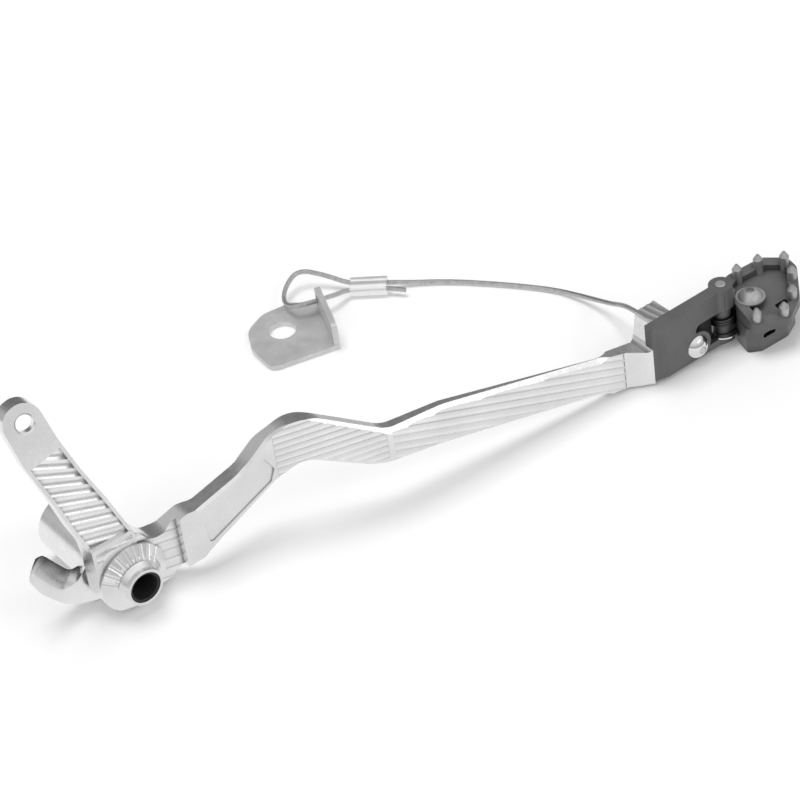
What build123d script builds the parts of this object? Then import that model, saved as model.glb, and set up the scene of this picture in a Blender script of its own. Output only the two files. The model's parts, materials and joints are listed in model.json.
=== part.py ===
from build123d import *
import math
import os

# Rear brake pedal for an off-road motorcycle, right-hand side.
# Origin at the middle of the pivot bore. X points forward along the pedal, Z up,
# and the bore runs along Y, with the outer side of the pedal towards -Y.
# The part stands on the boss tube and the tip, on the plane z = -tube_r.

# Pivot boss
bore_r = 6.2
tube_r = 12.5
tube_inner_y = 36.5
lip_y = -15.0
lip_r = 7.3
lip_length = 1.8
boss_foot_r = 13.4
foot_rise = 1.2
edge_break = 0.8
flute_r = 1.5
flute_count = 9
flute_first_deg = 38.0
flute_last_deg = 158.0

# Bushings and seals in the bore
bushing_wall = 1.1
bushing_length = 14.0
seal_width = 1.6
seal_wall = 1.0
seal_recess = 0.5

# Main arm: faces seen from above, outer side and inner side
web_y = -6.4
web_thickness = 8.4
panel_y = -13.0
panel_thickness = 7.5
jog_y = -32.5
fore_y = -42.0
fore_thickness = 7.5
fore_end_thickness = 5.0
web_back_x = -13.2
web_end_x = 15.0
panel_start_x = 28.0
jog_start_x = 60.0
jog_end_x = 98.0
fore_end_x = 199.0
block_x = 207.4

# Main arm: bevels along its edges
top_bevel = 1.8
inner_bevel = 2.4
low_bevel = 2.8
back_bevel = 1.0
bevel_start_x = 22.0
bevel_stop = 7.0

# Bare label panel in the outer face
label_depth = 0.5
label_radius = 1.4

# Machined scallops left by a ball-nosed cutter
cutter_r = 3.0
web_cutter_r = 4.0
web_pitch = 4.0
web_scallop = 0.55
web_slope_deg = -14.8
web_cut_end_x = 21.0
jog_pitch = 2.7
jog_scallop = 0.3
jog_slope_deg = 8.0
fore_pitch = 3.2
fore_scallop = 0.42
fore_slope_deg = -19.0
post_pitch = 3.0
post_scallop = 0.35
post_slope_deg = 9.0

# End post that carries the tip block
post_top_z = 13.0
post_foot_x = 207.2
post_start_x = 211.2
post_end_x = 221.5
post_thickness = 10.0
foot_end_x = 234.0
foot_top_z = 2.2

# Actuator arm: a plate that leans inwards as it rises
arm_base_x = -6.0
arm_bend_z = 14.0
arm_lean_deg = 20.0
arm_sweep_deg = 22.8
arm_thickness = 7.6
eye_thickness = 4.4
taper_end = 44.0
eye_x = -17.0
eye_z = 68.3
eye_r = 7.2
eye_bore_r = 3.25
eye_chamfer = 0.6
recess_depth = 2.8
recess_length = 45.0
recess_rim = 1.3
recess_pitch = 4.7
recess_count = 13
recess_cutter_r = 3.4
recess_low_deg = 30.5
recess_high_deg = 45.4

# Return-spring hook: a plate whose trough runs away at an angle
hook_y = 4.0
hook_thickness = 5.6
hook_turn_deg = 49.0
hook_tip_r = 1.0

# Tip block and its ears
tip_y = -48.5
block_thickness = 5.2
block_bottom_z = -10.6
block_top_z = 14.0
block_step = 1.2
ear_low_z = 4.8
ear_plate = 3.0
hinge_x = 243.5
hinge_y = -45.0
ear_r = 4.6
screw_x = hinge_x - 15.5
screw_z = -5.0
screw_r = 2.5
screw_head_r = 4.8
screw_head_height = 3.0
screw_length = 12.5
platform_screw_length = 12.0
screw_clearance = 0.25
hex_r = 1.8
hex_depth = 1.6
pad_r = 6.4
dowel_r = 1.5
dowel_x = 213.0
dowel_z = -4.0
dowel_length = 8.0

# Folding tip
pin_r = 2.0
pin_clearance = 0.05
pin_proud = 0.5
clip_thickness = 0.6
clip_width = 1.2
fold_clearance = 0.5
barrel_r = 3.6
barrel_clearance = 0.2
washer_r = 6.2
washer_thickness = 0.6
wire_r = 0.5
coil_r = 4.5
coil_turns = 3
coil_pitch = 1.15
coil_bottom_z = -3.3
coil_clearance = 0.5
toe_split_z = -1.5
boss_x = hinge_x + 10.5
boss_y = hinge_y - 4.5
boss_r = 4.6
boss_top_z = 4.4
platform_washer_thickness = 0.6
rim_width = 3.8
rim_height = 2.4
rim_far_y = hinge_y + 8.0
rim_far_z = 7.9
rim_slope = 0.215
cleat_r = 1.9
cleat_height = 5.4
cleat_cone = 2.0
cleat_tip_r = 0.6
cleat_depth = 3.0

# Safety cable, its crimps and its bracket
cable_r = 1.0
cable_hole_clearance = 0.25
stop_r = 2.2
stop_length = 6.0
stop_x = 214.3
stop_z = 9.6
cable_straight = 9.8
ferrule_length = 14.5
ferrule_wall = 1.7
ferrule_gap = 0.3
sheet = 2.2
bracket_x = 145.81
bracket_y = 78.25
bracket_turn_deg = -111.9
tab_height = 11.8
tab_end = 23.2
tab_start = -4.4
loop_hole_r = 1.9
loop_hole_along = -0.9
loop_hole_z = -5.05
bolt_hole_r = 5.3
bolt_along = 5.5
bolt_across = 18.6

floor_z = -tube_r
lean = math.radians(arm_lean_deg)


def side_plate(outline, y_low, y_high):
    """A plate with an outline in X and Z, between two values of Y."""
    face = Plane.XZ.offset(-y_high) * make_face(outline)
    return extrude(face, amount=y_high - y_low, dir=(0, -1, 0))


def plan_plate(outline, z_low, z_high):
    """A plate with an outline in X and Y, between two values of Z."""
    face = Plane.XY.offset(z_low) * make_face(outline)
    return extrude(face, amount=z_high - z_low, dir=(0, 0, 1))


def rounded(points):
    """A closed outline through (across, up, radius) corners, with tangent arcs."""
    stops = []
    for index, (across, up, radius) in enumerate(points):
        corner = Vector(across, up)
        back = Vector(*points[index - 1][:2]) - corner
        ahead = Vector(*points[(index + 1) % len(points)][:2]) - corner
        half = math.radians(back.get_angle(ahead)) / 2
        if radius == 0 or half > math.radians(89.6):
            stops.append((corner, corner, corner))
            continue
        cut = min(radius / math.tan(half), 0.49 * back.length, 0.49 * ahead.length)
        arc_r = cut * math.tan(half)
        inward = (back.normalized() + ahead.normalized()).normalized()
        middle = corner + inward * (arc_r / math.sin(half) - arc_r)
        stops.append((corner + back.normalized() * cut, middle, corner + ahead.normalized() * cut))
    edges = []
    for index, (start, middle, end) in enumerate(stops):
        if middle != start:
            edges.append(ThreePointArc(start, middle, end))
        edges.append(Line(end, stops[(index + 1) % len(stops)][0]))
    return edges


def from_hinge(points):
    """A closed plan outline whose corners are measured from the tip's hinge."""
    return rounded([(hinge_x + across, hinge_y + up, radius) for across, up, radius in points])


def rod(start, end, radius):
    """A round bar between two points."""
    start = Vector(*start)
    run = Vector(*end) - start
    return extrude(Plane(origin=start, z_dir=run) * Circle(radius), amount=run.length)


def upright(x, y, radius, z_low, z_high):
    """A round bar along Z."""
    return rod((x, y, z_low), (x, y, z_high), radius)


def ring(x, y, inner, outer, z_low, z_high):
    """A flat ring with its axis along Z."""
    return upright(x, y, outer, z_low, z_high) - upright(x, y, inner, z_low - 1, z_high + 1)


def joined(solids):
    """All of the solids fused into one."""
    result = solids[0]
    for solid in solids[1:]:
        result = result + solid
    return result


def turned(profile):
    """A solid of revolution about Y, from (radius, y) corners."""
    return revolve(make_face(Polyline(*profile, close=True)), axis=Axis.Y)


def level(x, stations):
    """The straight-line value at x between stations of (x, value, radius)."""
    if x <= stations[0][0]:
        return stations[0][1]
    for (x0, v0, r0), (x1, v1, r1) in zip(stations, stations[1:]):
        if x <= x1:
            return v0 + (v1 - v0) * (x - x0) / (x1 - x0)
    return stations[-1][1]


def cutter_paths(middle, along, across, outward, first, count, pitch, radius, depth, reach):
    """Parallel ball-nosed cutter paths that dip into a face by the depth."""
    lift = outward * (radius - depth)
    paths = []
    for index in range(count):
        place = middle + across * ((first + index) * pitch) + lift
        paths.append(rod(place - along * reach, place + along * reach, radius))
    return paths


def button_screw(seat, axis, thread_r, length, head_r, head_height):
    """A domed socket screw: its seat, the way its head points, and its sizes."""
    place = Plane(origin=seat, z_dir=axis)
    dome_r = (head_r * head_r + head_height * head_height) / (2 * head_height)
    dome = Pos(0, 0, head_height - dome_r) * Sphere(dome_r)
    head = extrude(Circle(head_r), amount=head_height) & dome
    socket = extrude(Plane.XY.offset(head_height - hex_depth) * RegularPolygon(hex_r, 6), amount=5)
    shank = extrude(Circle(thread_r), amount=-length)
    return place * (head - socket + shank)


# Boss tube with its concave foot, lip and radial flutes
boss_profile = [
    (0, lip_y),
    (lip_r, lip_y),
    (lip_r, lip_y + lip_length),
    (lip_r + 0.9, lip_y + lip_length + 1.3),
    (lip_r + 2.6, lip_y + lip_length + 3.3),
    (boss_foot_r, web_y - foot_rise),
    (boss_foot_r, web_y + 2.0),
    (tube_r, web_y + 3.0),
    (tube_r, tube_inner_y - edge_break),
    (tube_r - edge_break, tube_inner_y),
    (0, tube_inner_y),
]
boss = turned(boss_profile)
for index in range(flute_count):
    share = index / (flute_count - 1)
    angle = math.radians(flute_first_deg + share * (flute_last_deg - flute_first_deg))
    ray = Vector(math.cos(angle), 0, math.sin(angle))
    low = ray * (lip_r + 1.9) + Vector(0, lip_y + lip_length + 1.3, 0)
    high = ray * (boss_foot_r + 2.4) + Vector(0, web_y - foot_rise + 0.2, 0)
    boss = boss - rod(low, high, flute_r)

# Main arm: its side outline and its plan outline, each extruded, and what they share
top_line = [
    (web_back_x, 19.0, 0.6),
    (3.4, 19.4, 2.5),
    (12.5, 7.0, 6.0),
    (23.5, 16.8, 6.0),
    (48.0, 22.8, 26.0),
    (70.2, 38.0, 14.0),
    (jog_end_x, 22.8, 14.0),
    (121.0, 21.8, 25.0),
    (post_foot_x, 3.4, 2.5),
    (post_start_x, post_top_z, 1.5),
    (post_end_x, post_top_z, 1.5),
    (post_end_x, foot_top_z, 2.0),
    (foot_end_x, foot_top_z, 2.5),
]
low_line = [
    (-4.0, -11.6, 5.0),
    (14.0, -11.2, 9.0),
    (34.0, -0.8, 18.0),
    (jog_start_x, 10.6, 16.0),
    (70.5, 17.2, 12.0),
    (92.0, 7.6, 20.0),
    (121.0, 3.4, 40.0),
    (fore_end_x - 9, block_bottom_z - 0.2, 30.0),
    (fore_end_x + 3, block_bottom_z - 0.9, 9.0),
    (foot_end_x, block_bottom_z, 2.5),
]
outer_line = [
    (-16.0, web_y, 0.5),
    (web_end_x, web_y, 2.0),
    (panel_start_x, panel_y, 6.0),
    (jog_start_x, panel_y, 9.0),
    (jog_end_x, jog_y, 9.0),
    (fore_end_x, fore_y, 2.0),
    (block_x, tip_y + block_step, 0),
    (block_x, tip_y + block_thickness, 0),
    (foot_end_x, tip_y + block_thickness, 0),
]
inner_line = [
    (-16.0, web_y + web_thickness, 0.5),
    (web_end_x - 1, web_y + web_thickness, 4.0),
    (panel_start_x - 1, panel_y + panel_thickness, 6.0),
    (jog_start_x - 2.5, panel_y + panel_thickness, 9.0),
    (jog_end_x + 1, jog_y + fore_thickness, 9.0),
    (fore_end_x - 8, fore_y + fore_end_thickness, 8.0),
    (block_x - 2, fore_y + fore_end_thickness, 2.0),
    (post_start_x + 0.5, tip_y + block_thickness + post_thickness, 2.0),
    (foot_end_x, tip_y + block_thickness + post_thickness, 2.0),
]
side_outline = rounded([(web_back_x, -4.0, 4.0)] + top_line + low_line[::-1])
plan_outline = rounded(outer_line + inner_line[::-1])
main_arm = side_plate(side_outline, -60, 30) & plan_plate(plan_outline, -40, 60)


def bevel_limit(height, across, sizes, up, out):
    """One edge's bevel as corners along X, seen along the bevel's own slope."""
    last_x = fore_end_x - bevel_stop
    places = [x for x, value, radius in height + across if bevel_start_x < x < last_x]
    corners = []
    for x in [-20.0, bevel_start_x] + sorted(places) + [last_x, block_x, foot_end_x + 6]:
        value = up * level(x, height) + out * level(x, across) - level(x, sizes)
        if not corners or x - corners[-1][0] > 4.5:
            corners.append((x, value / math.sqrt(2), 12.0))
    return corners


def bevelled(solid, slope, top, bottom):
    """What a solid keeps between two bevel limits, looking along (0, 1, slope)."""
    corners = top + [(x, -v, r) for x, v, r in bottom[::-1]]
    view = Plane(origin=(0, 0, 0), x_dir=(1, 0, 0), z_dir=(0, -1, -slope))
    return solid & extrude(view * make_face(rounded(corners)), amount=120, both=True)


def bevel_sizes(fore_bevel):
    """The bevel's size along X, with none at the web and at the end post."""
    none = -12.0
    return [
        (bevel_start_x - 4, none, 0),
        (bevel_start_x + 2, back_bevel, 0),
        (jog_start_x, back_bevel, 0),
        (jog_end_x, fore_bevel, 0),
        (fore_end_x - bevel_stop, fore_bevel, 0),
        (fore_end_x + 3, none, 0),
    ]


upper_outer = bevel_limit(top_line, outer_line, bevel_sizes(top_bevel), 1, -1)
lower_inner = bevel_limit(low_line, inner_line, bevel_sizes(top_bevel), -1, 1)
upper_inner = bevel_limit(top_line, inner_line, bevel_sizes(inner_bevel), 1, 1)
lower_outer = bevel_limit(low_line, outer_line, bevel_sizes(low_bevel), -1, -1)
main_arm = bevelled(main_arm, 1, upper_outer, lower_inner)
main_arm = bevelled(main_arm, -1, upper_inner, lower_outer)

# Scallops in the three machined stretches of the arm's outer face
web_slope = math.radians(web_slope_deg)
web_zone = side_plate(
    rounded(
        [
            (web_back_x + recess_rim, -3.0, 3.0),
            (web_back_x + recess_rim, arm_bend_z + 3, 0),
            (web_cut_end_x, 18.0, 0),
            (web_cut_end_x, -14.0, 0),
            (-4.0, -14.0, 5.0),
        ]
    ),
    panel_y - 6,
    web_y + 3,
)
boss_guard = rod((0, lip_y - 10, 0), (0, web_y + 5, 0), boss_foot_r)
web_paths = cutter_paths(
    Vector(0, web_y, 0),
    Vector(math.cos(web_slope), 0, math.sin(web_slope)),
    Vector(-math.sin(web_slope), 0, math.cos(web_slope)),
    Vector(0, -1, 0),
    -4,
    9,
    web_pitch,
    web_cutter_r,
    web_scallop,
    45,
)
main_arm = main_arm - ((joined(web_paths) & web_zone) - boss_guard)


def slanted_cuts(x0, y0, x1, y1, slope_deg, first, count, pitch, depth, z_middle):
    """Cutter paths in an upright face between two corners of the plan."""
    face_run = Vector(x1 - x0, y1 - y0, 0).normalized()
    outward = Vector(face_run.Y, -face_run.X, 0)
    slope = math.radians(slope_deg)
    along = face_run * math.cos(slope) + Vector(0, 0, 1) * math.sin(slope)
    across = Vector(0, 0, 1) * math.cos(slope) - face_run * math.sin(slope)
    middle = Vector((x0 + x1) / 2, (y0 + y1) / 2, z_middle)
    paths = cutter_paths(middle, along, across, outward, first, count, pitch, cutter_r, depth, 70)
    zone_plan = [(x0 + 1, -80, 0), (x1 - 1, -80, 0), (x1 - 1, 20, 0), (x0 + 1, 20, 0)]
    return joined(paths) & plan_plate(rounded(zone_plan), -30, 60)


main_arm = main_arm - slanted_cuts(
    jog_start_x, panel_y, jog_end_x, jog_y, jog_slope_deg, -5, 11, jog_pitch, jog_scallop, 23
)
main_arm = main_arm - slanted_cuts(
    jog_end_x, jog_y, fore_end_x, fore_y, fore_slope_deg, -6, 12, fore_pitch, fore_scallop, 4
)

# Bare label panel
label_outline = rounded(
    [
        (28.4, 10.6, label_radius),
        (56.6, 23.6, label_radius),
        (60.2, 16.8, label_radius),
        (58.2, 11.9, label_radius),
        (29.6, 0.4, label_radius),
    ]
)
main_arm = main_arm - side_plate(label_outline, panel_y - 5, panel_y + label_depth)

# Actuator arm: its outline seen from the side, and its bend seen along the bend line
sweep_turn = math.radians(arm_sweep_deg)
arm_up = Vector(-math.sin(sweep_turn), 0, math.cos(sweep_turn))
arm_across = Vector(math.cos(sweep_turn), 0, math.sin(sweep_turn))
arm_base = Vector(arm_base_x, web_y, arm_bend_z)
face_up = arm_up * math.cos(lean) + Vector(0, 1, 0) * math.sin(lean)
face_out = arm_up * math.sin(lean) - Vector(0, 1, 0) * math.cos(lean)
arm_outline = rounded(
    [
        (web_back_x, 6.0, 0),
        (web_back_x, 18.9, 10.0),
        (-15.6, 26.0, 40.0),
        (-18.4, 38.5, 40.0),
        (-22.9, 54.0, 25.0),
        (eye_x - 1.2 * eye_r, eye_z + 0.76 * eye_r, eye_r - 0.1),
        (eye_x + 0.76 * eye_r, eye_z + 1.2 * eye_r, eye_r - 0.1),
        (-8.6, 60.0, 12.0),
        (-5.0, 46.6, 30.0),
        (-0.2, 33.0, 30.0),
        (4.6, 17.0, 6.0),
        (4.6, 6.0, 0),
    ]
)
arm_reach = 80.0
rise = arm_reach * math.tan(lean)
arm_depth = arm_thickness / math.cos(lean)
eye_depth = eye_thickness / math.cos(lean)
bend_profile = Polyline(
    (-14.0, 0.0),
    (0.0, 0.0),
    (arm_reach, rise),
    (arm_reach, rise + eye_depth),
    (taper_end, taper_end * math.tan(lean) + eye_depth),
    (0.0, arm_depth),
    (-14.0, arm_depth),
    close=True,
)
bend_view = Plane(origin=arm_base, x_dir=arm_up, z_dir=-arm_across)
bend = extrude(bend_view * make_face(bend_profile), amount=60, both=True)
actuator_arm = side_plate(arm_outline, -20, 60) & bend

# Scalloped recess: the cutter paths fan out and get deeper towards the eye
recess_face = offset(make_face(arm_outline), -recess_rim)
recess_limit = Polyline((-30, 15.5), (10, 15.5), (10, 61.2), (-8.4, 56.1), (-30, 50.3), close=True)
recess_face = recess_face & make_face(recess_limit)
recess_zone = extrude(Plane.XZ.offset(-40) * recess_face, amount=80, dir=(0, -1, 0))
recess = []
for index in range(recess_count):
    along_face = (index - 1) * recess_pitch
    share = along_face / recess_length
    turn = math.radians(recess_low_deg + min(share, 1.0) * (recess_high_deg - recess_low_deg))
    depth = web_scallop + share * (recess_depth - web_scallop)
    way = arm_across * math.cos(turn) - face_up * math.sin(turn)
    place = arm_base + face_up * along_face + face_out * (recess_cutter_r - depth)
    recess.append(rod(place - way * 30, place + way * 30, recess_cutter_r))
actuator_arm = actuator_arm - (joined(recess) & recess_zone - boss_guard)

# Eye with a chamfered bore square to the pad
eye_drop = Vector(eye_x - arm_base.X, 0, eye_z - arm_base.Z)
eye_rise = eye_drop.dot(arm_up)
eye_middle = arm_base + arm_across * eye_drop.dot(arm_across) + arm_up * eye_rise
eye_middle = eye_middle + Vector(0, eye_rise * math.tan(lean), 0)
actuator_arm = actuator_arm - rod(eye_middle - face_out * 20, eye_middle + face_out * 20, eye_bore_r)
for side, seat in [(1, eye_middle), (-1, eye_middle - face_out * eye_thickness)]:
    cone = Cone(eye_bore_r - 1, eye_bore_r + eye_chamfer + 1, eye_chamfer + 2)
    way = face_out * side
    actuator_arm = actuator_arm - Plane(origin=seat - way * (eye_chamfer / 2), z_dir=way) * cone

# Return-spring hook on the inner side
hook_outline = rounded(
    [
        (-2.0, 4.0, 0),
        (-8.5, 8.5, 0),
        (-15.2, 0.6, 6.0),
        (-23.6, 0.7, 6.0),
        (-31.6, 13.6, hook_tip_r),
        (-34.2, 13.2, hook_tip_r),
        (-31.0, 5.0, 9.0),
        (-21.5, -7.6, 22.0),
        (-8.0, floor_z, 12.0),
        (-2.0, floor_z, 0),
    ]
)
hook_slide = math.tan(math.radians(hook_turn_deg))
hook_face = Plane.XZ.offset(-hook_y) * make_face(hook_outline)
hook_run = hook_thickness * math.hypot(1, hook_slide)
hook = extrude(hook_face, amount=hook_run, dir=(hook_slide, 1, 0))

# The pedal arm as one piece, with the bore and the holes at its end
pedal_arm = main_arm + actuator_arm + boss + hook
pedal_arm = pedal_arm - rod((0, lip_y - 1, 0), (0, tube_inner_y + 1, 0), bore_r)
post_inner_y = tip_y + block_thickness + post_thickness
block_back_y = tip_y + block_thickness
stop_end_y = block_back_y + stop_length
screw_end_y = tip_y + screw_length
cable_hole_r = cable_r + cable_hole_clearance
pedal_arm = pedal_arm - rod((stop_x, block_back_y - 1, stop_z), (stop_x, stop_end_y, stop_z), stop_r)
pedal_arm = pedal_arm - rod((stop_x, -50, stop_z), (stop_x, post_inner_y + 1, stop_z), cable_hole_r)
pedal_arm = pedal_arm - rod((screw_x, -50, screw_z), (screw_x, screw_end_y, screw_z), screw_r)
dowel_start_y = block_back_y - dowel_length / 2
dowel_end_y = block_back_y + dowel_length / 2
pedal_arm = pedal_arm - rod((dowel_x, dowel_start_y, dowel_z), (dowel_x, dowel_end_y, dowel_z), dowel_r)
post_turn = math.radians(post_slope_deg)
post_along = Vector(math.sin(post_turn), -math.cos(post_turn), 0)
post_across = Vector(math.cos(post_turn), math.sin(post_turn), 0)
post_middle = Vector((post_start_x + post_end_x) / 2, block_back_y + post_thickness / 2, post_top_z)
post_paths = cutter_paths(
    post_middle, post_along, post_across, Vector(0, 0, 1), -2, 5, post_pitch, cutter_r, post_scallop, 14
)
pedal_arm = pedal_arm - joined(post_paths)

# Bushings pressed into both ends of the bore, and the seals outside them
pieces = {"pedal_arm": pedal_arm}
seal_r = bore_r - seal_wall
for name, end_y, inward in [("outer", lip_y, 1), ("inner", tube_inner_y, -1)]:
    seal_start = end_y + inward * seal_recess
    seal_end = seal_start + inward * seal_width
    bushing_end = seal_end + inward * bushing_length
    seal = rod((0, seal_start, 0), (0, seal_end, 0), bore_r)
    seal = seal - rod((0, seal_start - inward, 0), (0, seal_end + inward, 0), seal_r)
    bushing = rod((0, seal_end, 0), (0, bushing_end, 0), bore_r)
    bushing = bushing - rod((0, seal_end - inward, 0), (0, bushing_end + inward, 0), bore_r - bushing_wall)
    pieces["pivot_seal_" + name] = seal
    pieces["pivot_bushing_" + name] = bushing

# Tip block: plan and side outlines, with the ears rounded about the hinge
block_plan = rounded(
    [
        (block_x, block_back_y, 0),
        (block_x, tip_y + block_step, 0.5),
        (block_x + 2.0, tip_y + block_step, 0),
        (block_x + 5.4, tip_y, 0),
        (hinge_x - ear_r, tip_y, 3.0),
        (hinge_x - 0.5 * ear_r, hinge_y - ear_r + 0.3, 1.5),
        (hinge_x, hinge_y - ear_r + 0.3, 0),
        (hinge_x, hinge_y + ear_r - 0.3, 0),
        (hinge_x - ear_r, block_back_y, 1.0),
    ]
)
block = plan_plate(block_plan, block_bottom_z, block_top_z)
block = block + upright(hinge_x, hinge_y, ear_r, block_bottom_z, block_top_z)
cavity_outline = rounded(
    [
        (screw_x - 0.5, block_bottom_z + ear_plate, 0),
        (screw_x - 0.5, ear_low_z, 2.5),
        (hinge_x + 10, ear_low_z, 0),
        (hinge_x + 10, block_bottom_z + ear_plate, 0),
    ]
)
cavity = side_plate(cavity_outline, tip_y - 5, block_back_y + 5)
cavity = cavity - rod((screw_x, tip_y - 6, screw_z), (screw_x, block_back_y + 6, screw_z), pad_r)
block = block - cavity
screw_hole_r = screw_r + screw_clearance
block = block - rod((screw_x, tip_y - 1, screw_z), (screw_x, block_back_y + 1, screw_z), screw_hole_r)
block = block - rod((dowel_x, dowel_start_y, dowel_z), (dowel_x, dowel_end_y, dowel_z), dowel_r)
block = block - upright(hinge_x, hinge_y, pin_r, block_bottom_z - 1, block_top_z + 1)
pieces["tip_base_block"] = block
pieces["block_dowel"] = rod(
    (dowel_x, dowel_start_y, dowel_z), (dowel_x, dowel_end_y, dowel_z), dowel_r
)
pieces["block_screw"] = button_screw(
    (screw_x, tip_y, screw_z), (0, -1, 0), screw_r, screw_length, screw_head_r, screw_head_height
)

# Hinge pin, its clip and the washer under the barrel
clip_low_z = block_bottom_z - clip_thickness
pin = upright(hinge_x, hinge_y, pin_r, clip_low_z - 0.4, block_top_z + pin_proud)
pieces["hinge_pin"] = chamfer(pin.edges().group_by(Axis.Z)[-1], 0.3)
pieces["hinge_clip"] = ring(hinge_x, hinge_y, pin_r, pin_r + clip_width, clip_low_z, block_bottom_z)
washer_low_z = block_bottom_z + ear_plate
washer_high_z = washer_low_z + washer_thickness
washer_in_r = pin_r + pin_clearance
pieces["hinge_washer"] = ring(hinge_x, hinge_y, washer_in_r, washer_r, washer_low_z, washer_high_z)

# Toe knuckle: the lower half of the folding tip, with the barrel round the pin
barrel_low_z = washer_high_z + barrel_clearance
barrel_high_z = ear_low_z - barrel_clearance
knuckle_plan = from_hinge(
    [
        (1, -12.5, 1.5),
        (5.5, -15.5, 2.0),
        (18.5, -15.8, 4.0),
        (26, -12, 4.0),
        (30, -5, 4.0),
        (30.5, 3, 3.0),
        (26.5, 6.5, 2.5),
        (9.5, 6.5, 1.5),
        (5.5, 4, 1.5),
    ]
)
knuckle = plan_plate(knuckle_plan, floor_z, toe_split_z)
knuckle = knuckle + upright(boss_x, boss_y, boss_r, toe_split_z, boss_top_z)
ear_room_r = ear_r + fold_clearance
washer_room_r = washer_r + fold_clearance
knuckle = knuckle - upright(hinge_x, hinge_y, ear_room_r, floor_z - 1, washer_low_z)
knuckle = knuckle - upright(hinge_x, hinge_y, washer_room_r, washer_low_z - 0.3, barrel_low_z)
link_plan = rounded(
    [
        (hinge_x, hinge_y - barrel_r, 0),
        (hinge_x + 7, hinge_y - barrel_r, 0),
        (hinge_x + 7, hinge_y + barrel_r, 0),
        (hinge_x, hinge_y + barrel_r, 0),
    ]
)
knuckle = knuckle + plan_plate(link_plan, barrel_low_z, toe_split_z)
coil_room_z = coil_bottom_z - wire_r - coil_clearance
coil_room_r = coil_r + wire_r + coil_clearance
knuckle = knuckle - upright(hinge_x, hinge_y, coil_room_r, coil_room_z, boss_top_z)
knuckle = knuckle + upright(hinge_x, hinge_y, barrel_r, barrel_low_z, barrel_high_z)
knuckle = knuckle - upright(hinge_x, hinge_y, pin_r + pin_clearance, floor_z - 1, ear_low_z + 1)
for slot_x in (hinge_x + 9.5, hinge_x + 20.5):
    slot = rounded([(slot_x - 3, 0, 0.9), (slot_x + 3, 0, 0.9), (slot_x + 3, 2, 0.9), (slot_x - 3, 2, 0.9)])
    knuckle = knuckle - Pos(0, 0, toe_split_z - 5.5) * side_plate(slot, hinge_y - 19, hinge_y - 12.5)

# Toe platform: raised rim round a sunk floor, with a slanted top
platform_plan = from_hinge(
    [
        (5, 6, 2.0),
        (10.5, 8.2, 5.0),
        (27, 7.4, 5.0),
        (35, 1.5, 4.0),
        (34.8, -4, 4.0),
        (25, -16, 6.0),
        (14.5, -22, 4.0),
        (1, -16.5, 2.5),
    ]
)
platform = plan_plate(platform_plan, toe_split_z, rim_far_z + 6)
inner_plan = offset(make_face(platform_plan), -rim_width)
top_plane = Plane(origin=(0, rim_far_y, rim_far_z), x_dir=(1, 0, 0), z_dir=(0, -rim_slope, 1))
above = extrude(top_plane * Pos(hinge_x, 0) * Rectangle(160, 160), amount=30)
sunk = Pos(0, 0, -rim_height) * above & extrude(Plane.XY.offset(-10) * inner_plan, amount=40)
platform = platform - above - sunk
platform = platform - upright(boss_x, boss_y, boss_r, toe_split_z - 1, 20)
platform = platform - upright(hinge_x, hinge_y, ear_room_r, toe_split_z - 1, 20)
platform = platform - upright(hinge_x, hinge_y, coil_room_r, toe_split_z - 1, barrel_high_z)
window = plan_plate(
    from_hinge([(16.0, -15.5, 0.8), (21.5, -15.5, 0.8), (21.5, -11.5, 0.8), (16.0, -11.5, 0.8)]), -10, 20
)
platform = platform - window

# Screw that clamps the platform on the knuckle's boss
head_seat_z = boss_top_z + platform_washer_thickness
platform_washer = ring(boss_x, boss_y, screw_r, screw_head_r + 0.9, boss_top_z, head_seat_z)
platform = platform - upright(boss_x, boss_y, screw_head_r + 0.9, boss_top_z, 20)
platform_screw = button_screw(
    (boss_x, boss_y, head_seat_z), (0, 0, 1), screw_r, platform_screw_length, screw_head_r, screw_head_height
)
knuckle = knuckle - upright(boss_x, boss_y, screw_r, head_seat_z - platform_screw_length, boss_top_z + 1)
pieces["toe_knuckle"] = knuckle
pieces["platform_screw"] = platform_screw
pieces["platform_washer"] = platform_washer

# Cleats pressed into the rim
cleat_places = [
    (13.3, 5.7),
    (23.1, 4.7),
    (32.1, 0.0),
    (29.3, -7.2),
    (22.7, -14.2),
    (14.3, -18.8),
    (4.1, -15.0),
]
for letter, (ahead, aside) in zip("abcdefg", cleat_places):
    x = hinge_x + ahead
    y = hinge_y + aside
    rim_z = rim_far_z + rim_slope * (y - rim_far_y)
    shaft = upright(x, y, cleat_r, rim_z - cleat_depth, rim_z + cleat_height - cleat_cone)
    cone = Pos(x, y, rim_z + cleat_height - cleat_cone / 2) * Cone(cleat_r, cleat_tip_r, cleat_cone)
    platform = platform - upright(x, y, cleat_r, rim_z - cleat_depth, 20)
    pieces["toe_cleat_" + letter] = shaft + cone
pieces["toe_platform"] = platform

# Torsion spring round the barrel
coil_height = coil_turns * coil_pitch
coil_path = Pos(hinge_x, hinge_y, coil_bottom_z) * Helix(coil_pitch, coil_height, coil_r)
coil_start = Plane(origin=coil_path @ 0, z_dir=coil_path % 0)
pieces["hinge_spring"] = sweep(coil_start * Circle(wire_r), path=coil_path)

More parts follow.
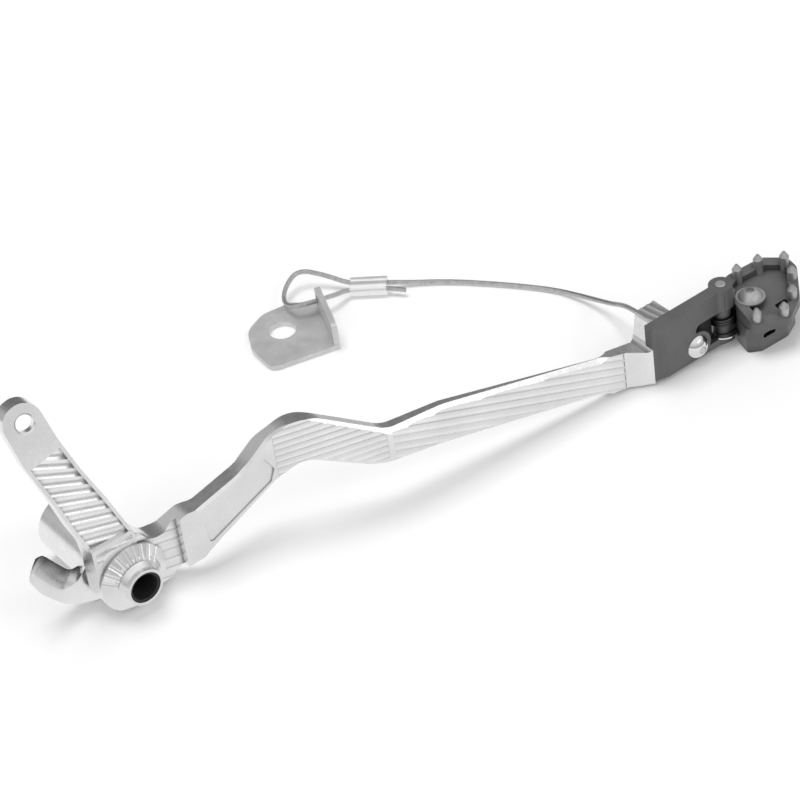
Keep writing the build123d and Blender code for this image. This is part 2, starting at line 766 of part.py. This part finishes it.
# Cable end stop and the safety cable's route
pieces["cable_end_stop"] = rod((stop_x, block_back_y, stop_z), (stop_x, stop_end_y, stop_z), stop_r)
ferrule_z = floor_z + cable_r + ferrule_wall + ferrule_gap
route = [
    (stop_x, stop_end_y, stop_z),
    (stop_x, stop_end_y + cable_straight, stop_z),
    (217.6, -18.2, 4.2),
    (221.4, -8.1, -3.0),
    (222.5, 1.8, -7.4),
    (220.9, 14.6, -10.4),
    (216.9, 25.8, -11.4),
    (205.2, 42.5, -11.4),
    (192.5, 58.2, -11.3),
    (181.2, 68.3, -11.0),
    (173.7, 73.5, ferrule_z),
    (162.4, 83.5, ferrule_z),
    (157.0, 92.3, -6.6),
    (149.6, 101.0, -4.4),
    (140.5, 97.8, -7.6),
    (134.5, 89.3, -7.4),
    (135.9, 80.4, -3.9),
    (151.7, 78.5, -6.2),
    (160.1, 80.9, ferrule_z),
    (171.4, 70.9, ferrule_z),
    (175.3, 64.6, ferrule_z),
]
radii = []
for before, corner, after in zip(route, route[1:], route[2:]):
    run_in = Vector(*corner) - Vector(*before)
    run_out = Vector(*after) - Vector(*corner)
    half = math.radians(run_in.get_angle(run_out)) / 2
    radii.append(0.45 * min(run_in.length, run_out.length) / math.tan(half))
cable_path = FilletPolyline(*route, radius=radii)
cable_start = Plane(origin=route[0], z_dir=Vector(*route[1]) - Vector(*route[0]))
snake_cable = sweep(cable_start * Circle(cable_r), path=cable_path)
print("cable radii", [round(r, 1) for r in radii])
print("cable length", round(cable_path.length, 1), "volume", round(snake_cable.volume, 2))
print("section times length", round(cable_path.length * math.pi * cable_r**2, 2))

# Ferrule: two barrels and the web between them
ferrule_in = Vector(*route[10])
ferrule_out = Vector(*route[11])
ferrule_way = (ferrule_out - ferrule_in).normalized()
second_way = (Vector(*route[19]) - Vector(*route[18])).normalized()
first_middle = (ferrule_in + ferrule_out) * 0.5
second_middle = (Vector(*route[18]) + Vector(*route[19])) * 0.5
barrel_out_r = cable_r + ferrule_wall
half_length = ferrule_length / 2
ferrule = rod(first_middle - ferrule_way * half_length, first_middle + ferrule_way * half_length, barrel_out_r)
ferrule = ferrule + rod(
    second_middle - second_way * half_length, second_middle + second_way * half_length, barrel_out_r
)
between = (first_middle + second_middle) * 0.5
spacing = (second_middle - first_middle).length
waist_place = Plane(origin=between, x_dir=ferrule_way, z_dir=(0, 0, 1))
ferrule = ferrule + waist_place * Box(ferrule_length, spacing, 2 * barrel_out_r - 0.8)
pieces["cable_ferrule"] = ferrule - snake_cable
pieces["snake_cable"] = snake_cable

# Folded steel bracket on the cable's loop
turn = math.radians(bracket_turn_deg)
bend_way = (math.cos(turn), math.sin(turn), 0)
bracket_place = Plane(origin=(bracket_x, bracket_y, floor_z), x_dir=bend_way, z_dir=(0, 0, 1))
bracket_outline = rounded(
    [
        (tab_end, 0, 0),
        (26.6, -28.1, 4.0),
        (12.8, -32.6, 14.0),
        (0.5, -31.7, 10.0),
        (-7.6, -23.7, 8.0),
        (-10.6, -11.2, 3.0),
        (tab_start, 0, 0),
    ]
)
bracket = extrude(make_face(bracket_outline), amount=sheet)
tab_face = Pos((tab_start + tab_end) / 2, -sheet / 2) * Rectangle(tab_end - tab_start, sheet)
tab = extrude(tab_face, amount=tab_height)
tab = fillet(tab.edges().filter_by(Axis.Y).group_by(Axis.Z)[-1], 2.0)
bracket = bracket + tab
bracket = bracket - Pos(bolt_along, -bolt_across) * Cylinder(bolt_hole_r, 20)
hole_height = loop_hole_z - floor_z
loop_hole = rod((loop_hole_along, -5, hole_height), (loop_hole_along, 5, hole_height), loop_hole_r)
bracket = bracket - loop_hole
pieces["snake_bracket"] = bracket_place * bracket

os.makedirs("parts", exist_ok=True)
for name, solid in pieces.items():
    export_step(solid, "parts/" + name + ".step")
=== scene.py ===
import json
import math

import bmesh
import bpy
from mathutils import Matrix, Vector


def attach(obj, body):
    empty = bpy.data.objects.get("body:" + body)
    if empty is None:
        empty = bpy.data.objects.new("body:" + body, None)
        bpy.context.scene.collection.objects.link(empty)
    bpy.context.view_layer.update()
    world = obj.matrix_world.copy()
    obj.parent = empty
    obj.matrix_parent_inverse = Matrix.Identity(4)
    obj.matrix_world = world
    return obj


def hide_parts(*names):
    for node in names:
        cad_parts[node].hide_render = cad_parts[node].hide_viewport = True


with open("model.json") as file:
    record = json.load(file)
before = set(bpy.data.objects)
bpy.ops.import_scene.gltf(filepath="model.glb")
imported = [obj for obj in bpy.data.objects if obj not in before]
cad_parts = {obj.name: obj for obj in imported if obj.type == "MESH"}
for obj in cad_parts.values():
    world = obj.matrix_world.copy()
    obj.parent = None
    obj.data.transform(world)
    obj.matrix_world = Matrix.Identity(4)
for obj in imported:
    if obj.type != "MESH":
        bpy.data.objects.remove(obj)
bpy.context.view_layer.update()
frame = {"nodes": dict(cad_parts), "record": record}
scene = bpy.context.scene
nodes = frame["nodes"]

# Rear brake pedal. Lengths are in metres, in the frame of the CAD solids.

# Camera at the photograph's angle, rolled a little to the left
CAMERA_AZIMUTH = math.radians(-32.21)
CAMERA_ELEVATION = math.radians(39.09)
CAMERA_ROLL = math.radians(-8.52)
CAMERA_DISTANCE = 1.1
CAMERA_TARGET = Vector((0.1121, -0.02, 0.02148))
CAMERA_LENS_MM = 137.85
CAMERA_SENSOR_MM = 36.0
CAMERA_CLIP = (0.05, 20.0)

ca, sa = math.cos(CAMERA_AZIMUTH), math.sin(CAMERA_AZIMUTH)
ce, se = math.cos(CAMERA_ELEVATION), math.sin(CAMERA_ELEVATION)
cr, sr = math.cos(CAMERA_ROLL), math.sin(CAMERA_ROLL)
right = Vector((ca, sa, 0))
up = Vector((-sa * se, ca * se, ce))
back = Vector((sa * ce, -ca * ce, se))
cam_x = right * cr + up * sr
cam_y = up * cr - right * sr
camera = bpy.data.objects.new("camera", bpy.data.cameras.new("camera"))
scene.collection.objects.link(camera)
camera.data.lens = CAMERA_LENS_MM
camera.data.sensor_width = CAMERA_SENSOR_MM
camera.data.clip_start, camera.data.clip_end = CAMERA_CLIP
camera.matrix_world = Matrix.Translation(CAMERA_TARGET + back * CAMERA_DISTANCE) @ Matrix(
    (cam_x, cam_y, back)
).transposed().to_4x4()
scene.camera = camera
scene.view_settings.view_transform = "Standard"


def link(name, data):
    """A new object in the scene."""
    piece = bpy.data.objects.new(name, data)
    scene.collection.objects.link(piece)
    return piece


# Safety cable: six strands laid round a core, along the route of its solid
ROUTE = [
    (0.2143, -0.0373, 0.0096),
    (0.2143, -0.0275, 0.0096),
    (0.2176, -0.0182, 0.0042),
    (0.2214, -0.0081, -0.0030),
    (0.2225, 0.0018, -0.0074),
    (0.2209, 0.0146, -0.0104),
    (0.2169, 0.0258, -0.0114),
    (0.2052, 0.0425, -0.0114),
    (0.1925, 0.0582, -0.0113),
    (0.1812, 0.0683, -0.0110),
    (0.1737, 0.0735, -0.0095),
    (0.1624, 0.0835, -0.0095),
    (0.1570, 0.0923, -0.0066),
    (0.1496, 0.1010, -0.0044),
    (0.1405, 0.0978, -0.0076),
    (0.1345, 0.0893, -0.0074),
    (0.1359, 0.0804, -0.0039),
    (0.1517, 0.0785, -0.0062),
    (0.1601, 0.0809, -0.0095),
    (0.1714, 0.0709, -0.0095),
    (0.1753, 0.0646, -0.0095),
]
ROUTE_STEPS = 24
CABLE_DIAMETER = 0.002
STRANDS = 6
STRAND_R = 0.00037
CORE_R = 0.00042
WIRE_SIDES = 8
LAY_LENGTH = 0.0085
RINGS_PER_LAY = 14


def nurbs_points(points, steps):
    """Points read from one open NURBS spline that has the given control points."""
    data = bpy.data.curves.new("route", "CURVE")
    data.dimensions = "3D"
    data.resolution_u = steps
    spline = data.splines.new("NURBS")
    spline.points.add(len(points) - 1)
    for point, place in zip(spline.points, points):
        point.co = (*place, 1.0)
    spline.order_u = 3
    spline.use_endpoint_u = True
    holder = link("route", data)
    line = bpy.data.meshes.new_from_object(holder)
    found = [v.co.copy() for v in line.vertices]
    bpy.data.objects.remove(holder)
    return found


def even(points, spacing):
    """The same line with evenly spaced points."""
    result = [points[0].copy()]
    owed = spacing
    for start, end in zip(points, points[1:]):
        run = (end - start).length
        done = 0.0
        while run - done > owed:
            done += owed
            result.append(start.lerp(end, done / run))
            owed = spacing
        owed -= run - done
    result.append(points[-1].copy())
    return result


def ways_along(points):
    """The direction of a line at each of its points."""
    ways = []
    for index in range(len(points)):
        ahead = points[min(index + 1, len(points) - 1)]
        behind = points[max(index - 1, 0)]
        ways.append((ahead - behind).normalized())
    return ways


def frames_along(points):
    """Two sideways directions at each point, carried along the line without twist."""
    ways = ways_along(points)
    side = ways[0].orthogonal().normalized()
    result = []
    for way in ways:
        side = (side - way * side.dot(way)).normalized()
        result.append((side.copy(), way.cross(side)))
    return result


def around(place, sideways, radius, turn):
    """A point beside a line, at a radius and a turn about it."""
    u, v = sideways
    return place + (u * math.cos(turn) + v * math.sin(turn)) * radius


def tube(mesh, centres, radius, sides):
    """Adds a closed round tube through the centres."""
    rings = []
    for place, sideways in zip(centres, frames_along(centres)):
        turns = [2 * math.pi * k / sides for k in range(sides)]
        rings.append([mesh.verts.new(around(place, sideways, radius, t)) for t in turns])
    for low, high in zip(rings, rings[1:]):
        for k in range(sides):
            following = (k + 1) % sides
            mesh.faces.new((low[k], low[following], high[following], high[k]))
    mesh.faces.new(rings[0][::-1])
    mesh.faces.new(rings[-1])


def finished(name, mesh, smooth=True):
    """An object made from a bmesh."""
    data = bpy.data.meshes.new(name)
    mesh.to_mesh(data)
    mesh.free()
    for face in data.polygons:
        face.use_smooth = smooth
    return link(name, data)


route_line = nurbs_points(ROUTE, ROUTE_STEPS)
cable_line = even(route_line, LAY_LENGTH / RINGS_PER_LAY)
cable_frames = frames_along(cable_line)
rope = bmesh.new()
tube(rope, cable_line, CORE_R, WIRE_SIDES)
for strand in range(STRANDS):
    centres = []
    for index, (place, sideways) in enumerate(zip(cable_line, cable_frames)):
        turn = 2 * math.pi * (strand / STRANDS + index / RINGS_PER_LAY)
        centres.append(around(place, sideways, CABLE_DIAMETER / 2 - STRAND_R, turn))
    tube(rope, centres, STRAND_R, WIRE_SIDES)
cable = finished("safety_cable", rope)
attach(cable, "arm")
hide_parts("snake_cable")


# Materials: noise detail for clouds, fine patches and tool marks, the part of the noise's
# range that the greys spread over, and the strength of the marks
NOISE_ROUGHNESS = 0.6
CLOUD_DETAIL, FINE_DETAIL, MARK_DETAIL = 4.0, 3.0, 2.0
FINE_TO_CLOUD = 7
RAMP_FROM, RAMP_TO = 0.3, 0.7
MARK_STRENGTH = 0.5
# Samples for finding corners, where shade is painted into the colour
CORNER_SHADE_SAMPLES = 8


def add(tree, kind, **settings):
    """A new shader node with its settings."""
    made = tree.nodes.new("ShaderNode" + kind)
    for setting, value in settings.items():
        setattr(made, setting, value)
    return made


def ramp(tree, source, stops):
    """Greys read over a source, from stops of place and grey."""
    made = add(tree, "ValToRGB")
    elements = made.color_ramp.elements
    while len(elements) < len(stops):
        elements.new(0.5)
    for element, (place, grey) in zip(elements, stops):
        element.position = place
        element.color = (grey, grey, grey, 1)
    tree.links.new(source, made.inputs["Fac"])
    return made.outputs["Color"]


def coordinates(tree, scale):
    """Scaled object coordinates."""
    where = add(tree, "TexCoord")
    mapping = add(tree, "Mapping")
    mapping.inputs["Scale"].default_value = scale
    tree.links.new(where.outputs["Object"], mapping.inputs["Vector"])
    return mapping.outputs["Vector"]


def share_of_y(tree, place, low, high):
    """How far a point lies between two values of Y, from 0 to 1."""
    split = add(tree, "SeparateXYZ")
    tree.links.new(place, split.inputs["Vector"])
    share = add(tree, "MapRange")
    share.inputs["From Min"].default_value = low
    share.inputs["From Max"].default_value = high
    tree.links.new(split.outputs["Y"], share.inputs["Value"])
    return share.outputs["Result"]


def noise(tree, vector, scale, detail):
    """Cloudy noise with octaves of the given detail."""
    made = add(tree, "TexNoise")
    made.inputs["Scale"].default_value = scale
    made.inputs["Detail"].default_value = detail
    made.inputs["Roughness"].default_value = NOISE_ROUGHNESS
    tree.links.new(vector, made.inputs["Vector"])
    return made.outputs["Fac"]


def multiplied(tree, first, second):
    """The product of two colours."""
    made = add(tree, "Mix", data_type="RGBA", blend_type="MULTIPLY")
    made.inputs["Factor"].default_value = 1.0
    tree.links.new(first, made.inputs["A"])
    tree.links.new(second, made.inputs["B"])
    return made.outputs["Result"]


def picked(tree, test, otherwise, when):
    """One shader where a test gives 0, and the other where it gives 1."""
    made = add(tree, "MixShader")
    tree.links.new(test, made.inputs["Fac"])
    tree.links.new(otherwise, made.inputs[1])
    tree.links.new(when, made.inputs[2])
    return made.outputs[0]


def material(
    name, low, high, rough_low, rough_high, metallic, clouds, marks, mark_depth, corner_shade=None
):
    """A surface with cloudy colour, uneven roughness, fine tool marks and painted corner shade.
    """
    made = bpy.data.materials.new(name)
    made.use_nodes = True
    tree = made.node_tree
    shader = tree.nodes["Principled BSDF"]
    plain = coordinates(tree, (1, 1, 1))
    cloud = noise(tree, plain, clouds, CLOUD_DETAIL)
    colour = ramp(tree, cloud, [(RAMP_FROM, low), (RAMP_TO, high)])
    if corner_shade is not None:
        # Painted shade: the colour is darkened where ambient occlusion finds nearby surfaces
        reach, dark_at, tone, clear_at = corner_shade
        corner = add(tree, "AmbientOcclusion", samples=CORNER_SHADE_SAMPLES)
        corner.inputs["Distance"].default_value = reach
        painted_shade = ramp(tree, corner.outputs["AO"], [(dark_at, tone), (clear_at, 1.0)])
        colour = multiplied(tree, colour, painted_shade)
    tree.links.new(colour, shader.inputs["Base Color"])
    fine = noise(tree, plain, clouds * FINE_TO_CLOUD, FINE_DETAIL)
    rough = ramp(tree, fine, [(RAMP_FROM, rough_low), (RAMP_TO, rough_high)])
    tree.links.new(rough, shader.inputs["Roughness"])
    shader.inputs["Metallic"].default_value = metallic
    bump = add(tree, "Bump")
    bump.inputs["Strength"].default_value = MARK_STRENGTH
    bump.inputs["Distance"].default_value = mark_depth
    line = noise(tree, coordinates(tree, marks), 1.0, MARK_DETAIL)
    tree.links.new(line, bump.inputs["Height"])
    tree.links.new(bump.outputs["Normal"], shader.inputs["Normal"])
    return made


# Each finish: its darkest and lightest grey, lowest and highest roughness, metallic, the
# clouds' scale, and the tool marks' scale along X, Y and Z and their depth. Some also have
# shade painted into their corners: its reach, how open a corner is where it is darkest, the
# tone there, and how open a place is where it ends.
FINISHES = {
    # Near black: painted shade, standing in for the shade inside the block's cavity
    "cavity_black": (0.018, 0.030, 0.50, 0.62, 0.2, 200, (900, 900, 900), 4e-6),
    "dull_steel": (0.42, 0.52, 0.38, 0.5, 0.7, 250, (2500, 2500, 2500), 4e-6),
    "dark_steel": (
        0.06, 0.10, 0.35, 0.45, 0.8, 250, (900, 900, 900), 4e-6, (0.006, 0.20, 0.10, 0.75),
    ),
    "machined_aluminium": (
        0.78, 0.87, 0.22, 0.32, 1.0, 60, (60, 900, 900), 3e-6, (0.0025, 0.30, 0.35, 0.80),
    ),
    "dark_anodised": (
        0.11, 0.14, 0.38, 0.50, 0.25, 90, (900, 900, 900), 6e-6, (0.007, 0.20, 0.10, 0.75),
    ),
    "bright_steel": (0.72, 0.80, 0.07, 0.13, 1.0, 120, (1500, 1500, 1500), 1e-6),
    "plain_steel": (0.28, 0.38, 0.30, 0.42, 1.0, 200, (2500, 2500, 2500), 2e-6),
    "cleat_steel": (0.36, 0.50, 0.30, 0.42, 0.7, 300, (900, 900, 900), 3e-6),
    "wire_rope": (0.48, 0.66, 0.28, 0.42, 1.0, 700, (6000, 6000, 6000), 1e-5),
    "ferrule_aluminium": (0.84, 0.92, 0.28, 0.36, 0.65, 250, (900, 900, 900), 2e-6),
    "bracket_steel": (0.58, 0.72, 0.42, 0.55, 0.55, 140, (900, 900, 900), 6e-6),
    "bushing_liner": (0.020, 0.035, 0.45, 0.60, 0.0, 400, (4000, 4000, 4000), 6e-6),
    "seal_rubber": (0.016, 0.024, 0.55, 0.70, 0.0, 400, (4000, 4000, 4000), 6e-6),
}
# Nodes that look duller or darker than the finish of their slot
OWN_LOOKS = {
    # The spring is darkened as painted shade, for the shade inside the block's cavity
    "hinge_spring": "dark_steel",
    "hinge_pin": "dull_steel",
    "platform_screw": "dull_steel",
    "platform_washer": "dull_steel",
}

# The hook's trough: where it starts, how far it runs along Y, and how far it slides along
# X on the way
HOOK_Y = 0.0040
HOOK_RUN = 0.0056
HOOK_SLIDE = math.tan(math.radians(49.0))
# Painted shade across the trough: how dark the colour is at each share of its run, darkest at
# the far side
TROUGH_SHADE = [(0.0, 1.0), (0.45, 0.85), (0.8, 0.35), (1.0, 0.12)]


def trough_look():
    """Aluminium with painted shade, darker towards the trough's far side."""
    made = LOOKS["machined_aluminium"].copy()
    made.name = "hook_trough"
    tree = made.node_tree
    colour = tree.nodes["Principled BSDF"].inputs["Base Color"]
    base = colour.links[0].from_socket
    across = share_of_y(tree, coordinates(tree, (1, 1, 1)), HOOK_Y, HOOK_Y + HOOK_RUN)
    tree.links.new(multiplied(tree, base, ramp(tree, across, TROUGH_SHADE)), colour)
    return made


def dress(piece, look):
    """Gives a piece one material."""
    piece.data.materials.clear()
    piece.data.materials.append(LOOKS[look])


LOOKS = {name: material(name, *finish) for name, finish in FINISHES.items()}
LOOKS["hook_trough"] = trough_look()
for part in frame["record"]["subparts"]:
    dress(nodes[part["node"]], OWN_LOOKS.get(part["node"], part["material_slot"]))
dress(cable, "wire_rope")

SHARP_EDGE = math.radians(50)


def solid_sheet(name, rows, rear_rows, look, body):
    """A closed piece between two sheets of points, smooth on both."""
    mesh = bmesh.new()
    front = [[mesh.verts.new(p) for p in row] for row in rows]
    rear = [[mesh.verts.new(p) for p in row] for row in rear_rows]
    last_row, last_column = len(rows) - 1, len(rows[0]) - 1
    for r in range(last_row):
        for k in range(last_column):
            mesh.faces.new((front[r][k], front[r][k + 1], front[r + 1][k + 1], front[r + 1][k]))
            mesh.faces.new((rear[r][k], rear[r + 1][k], rear[r + 1][k + 1], rear[r][k + 1]))
    edge = [(0, k) for k in range(last_column)]
    edge += [(r, last_column) for r in range(last_row)]
    edge += [(last_row, k) for k in range(last_column, 0, -1)]
    edge += [(r, 0) for r in range(last_row, 0, -1)]
    for (r0, k0), (r1, k1) in zip(edge, edge[1:] + edge[:1]):
        mesh.faces.new((front[r0][k0], rear[r0][k0], rear[r1][k1], front[r1][k1]))
    bmesh.ops.recalc_face_normals(mesh, faces=mesh.faces)
    piece = finished(name, mesh)
    piece.data.set_sharp_from_angle(angle=SHARP_EDGE)
    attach(piece, body)
    dress(piece, look)
    return piece


# Hook lining: the trough's profile in X and Z, crowned across. It passes the hook's two
# sides by a small share of its width, its near edge dips under the hook's face, and its
# rear side is sunk into the hook.
TROUGH = [
    (-0.0090, 0.0081),
    (-0.0126, 0.0046),
    (-0.0160, 0.0011),
    (-0.0196, 0.00075),
    (-0.0232, 0.0012),
    (-0.0268, 0.0064),
    (-0.0310, 0.0132),
    (-0.0320, 0.0142),
    (-0.0336, 0.0139),
]
TROUGH_STEPS = 6
TROUGH_COLUMNS = 13
TROUGH_OVERHANG = 0.015
TROUGH_CROWN = 0.0013
TROUGH_CROWN_POWER = 0.85
TROUGH_DIP = 0.00005
TROUGH_SUNK = 0.0008


def trough_point(place, out_of, share, rise):
    """A point of the lining, at a share of the trough's run and a height over its profile."""
    slide = HOOK_RUN * share
    return (
        place.x + out_of.x * rise + slide * HOOK_SLIDE,
        HOOK_Y + slide,
        place.z + out_of.z * rise,
    )


def crown(share):
    """Height of the lining over the profile, rounded towards its near edge."""
    inside = min(1.0, max(0.0, share))
    return TROUGH_CROWN * math.sin(0.5 * math.pi * inside**TROUGH_CROWN_POWER) - TROUGH_DIP


trough_line = nurbs_points([(x, 0.0, z) for x, z in TROUGH], TROUGH_STEPS)
trough_shares = [
    -TROUGH_OVERHANG + (1 + 2 * TROUGH_OVERHANG) * k / (TROUGH_COLUMNS - 1)
    for k in range(TROUGH_COLUMNS)
]
trough_rows = []
trough_rear = []
for place, way in zip(trough_line, ways_along(trough_line)):
    out_of = Vector((way.z, 0, -way.x))
    trough_rows.append([trough_point(place, out_of, s, crown(s)) for s in trough_shares])
    trough_rear.append([trough_point(place, out_of, s, -TROUGH_SUNK) for s in trough_shares])
solid_sheet(
    "hook_lining", trough_rows, trough_rear, "hook_trough", "arm"
)

# Thin near-black sheet that closes the back of the block's cavity, behind the spring: painted
# shade for the dark inside of the cavity
WEB_XS = (0.2276, 0.230, 0.233, 0.236, 0.2388)
WEB_ZS = (-0.0076, -0.0045, -0.0014, 0.0017, 0.0048)
WEB_Y = -0.0441
WEB_THICKNESS = 0.0007
web_rows = [[(x, WEB_Y, z) for x in WEB_XS] for z in WEB_ZS]
web_rear = [[(x, WEB_Y + WEB_THICKNESS, z) for x in WEB_XS] for z in WEB_ZS]
solid_sheet("cavity_shade_sheet", web_rows, web_rear, "cavity_black", "arm")


# Floor: lit where it is seen, a little brighter far away, and a plain glow where metal
# mirrors it, darker close to the arm, which shades it there
FLOOR_Z = -0.0125
FLOOR_RADIUS = 4.0
FLOOR_SIDES = 96
FLOOR_GREY = (0.86, 0.86, 0.86, 1)
FLOOR_ROUGHNESS = 0.9
FLOOR_CENTRE = (0.12, 0.0, 0.0)
FLOOR_LIFT = [(0.18, 0.07), (0.75, 0.65)]
FLOOR_MIRRORED_Y = (-0.20, 0.10)
FLOOR_MIRRORED = [
    (0.13, 1.0), (0.38, 1.0), (0.48, 0.86), (0.58, 0.80), (0.66, 0.90), (0.87, 1.0),
]
WHITE = (1, 1, 1, 1)


def floor_material():
    """White ground that camera rays and glossy rays see differently."""
    made = bpy.data.materials.new("floor")
    made.use_nodes = True
    made.cycles.emission_sampling = "NONE"
    tree = made.node_tree
    lit = tree.nodes["Principled BSDF"]
    lit.inputs["Base Color"].default_value = FLOOR_GREY
    lit.inputs["Roughness"].default_value = FLOOR_ROUGHNESS
    lit.inputs["Specular IOR Level"].default_value = 0.0
    rays = add(tree, "LightPath")
    place = add(tree, "TexCoord").outputs["Object"]
    away = add(tree, "VectorMath", operation="DISTANCE")
    away.inputs[1].default_value = FLOOR_CENTRE
    tree.links.new(place, away.inputs[0])
    seen = add(tree, "Math", operation="MULTIPLY")
    tree.links.new(rays.outputs["Is Camera Ray"], seen.inputs[0])
    tree.links.new(ramp(tree, away.outputs["Value"], FLOOR_LIFT), seen.inputs[1])
    lit.inputs["Emission Color"].default_value = WHITE
    tree.links.new(seen.outputs[0], lit.inputs["Emission Strength"])
    glow = add(tree, "Emission")
    across = share_of_y(tree, place, *FLOOR_MIRRORED_Y)
    tree.links.new(ramp(tree, across, FLOOR_MIRRORED), glow.inputs["Strength"])
    surface = picked(tree, rays.outputs["Is Glossy Ray"], lit.outputs[0], glow.outputs[0])
    tree.links.new(surface, tree.nodes["Material Output"].inputs["Surface"])
    return made


floor_mesh = bmesh.new()
bmesh.ops.create_circle(floor_mesh, cap_ends=True, radius=FLOOR_RADIUS, segments=FLOOR_SIDES)
floor = finished("floor", floor_mesh, smooth=False)
floor.location.z = FLOOR_Z
floor.data.materials.append(floor_material())


# Lamps: name, place, size, watts, and whether metal mirrors it
LAMPS = [
    ("key", (0.08, 0.22, 1.22), (0.7, 0.7), 8.8, False),
    ("left", (-0.95, -0.35, 0.65), (0.6, 0.6), 1.6, False),
    ("fill", (0.55, -0.95, 0.95), (0.8, 0.5), 2.0, False),
    ("strip", (0.62, -0.98, 0.86), (0.9, 0.16), 0.75, True),
]
LAMP_AIM = Vector((0.1, 0.0, 0.0))

for name, place, size, watts, mirrored in LAMPS:
    data = bpy.data.lights.new(name, "AREA")
    data.shape = "RECTANGLE"
    data.size, data.size_y = size
    data.energy = watts
    lamp = link(name, data)
    lamp.location = place
    lamp.rotation_mode = "QUATERNION"
    lamp.rotation_quaternion = (LAMP_AIM - Vector(place)).to_track_quat("-Z", "Y")
    lamp.visible_glossy = mirrored

# Studio: white to the camera, an even grey as light, and in mirrors brighter overhead,
# with a dark patch behind the pedal
PATCH_WAY = Vector((0.15, 0.85, 0.36)).normalized()
PATCH_TONES = [(0.0, 1.0), (0.68, 0.92), (0.83, 0.28), (0.96, 0.16)]
HEIGHT_TONES = [(0.0, 0.42), (0.15, 0.45), (0.45, 0.72), (0.75, 0.95)]
SKY_LIGHT = (0.48, 0.48, 0.48, 1)

world = bpy.data.worlds.new("studio")
scene.world = world
world.use_nodes = True
sky = world.node_tree
sky.nodes.clear()
way = add(sky, "TexCoord").outputs["Generated"]
split = add(sky, "SeparateXYZ")
sky.links.new(way, split.inputs["Vector"])
toward = add(sky, "VectorMath", operation="DOT_PRODUCT")
toward.inputs[1].default_value = PATCH_WAY
sky.links.new(way, toward.inputs[0])
patch = ramp(sky, toward.outputs["Value"], PATCH_TONES)
height = ramp(sky, split.outputs["Z"], HEIGHT_TONES)
mirrored_sky = add(sky, "Background")
sky.links.new(multiplied(sky, patch, height), mirrored_sky.inputs["Color"])
white_sky = add(sky, "Background")
white_sky.inputs["Color"].default_value = WHITE
soft_sky = add(sky, "Background")
soft_sky.inputs["Color"].default_value = SKY_LIGHT
rays = add(sky, "LightPath")
unseen = picked(
    sky, rays.outputs["Is Glossy Ray"], soft_sky.outputs[0], mirrored_sky.outputs[0]
)
surface = picked(sky, rays.outputs["Is Camera Ray"], unseen, white_sky.outputs[0])
sky.links.new(surface, add(sky, "OutputWorld").inputs["Surface"])
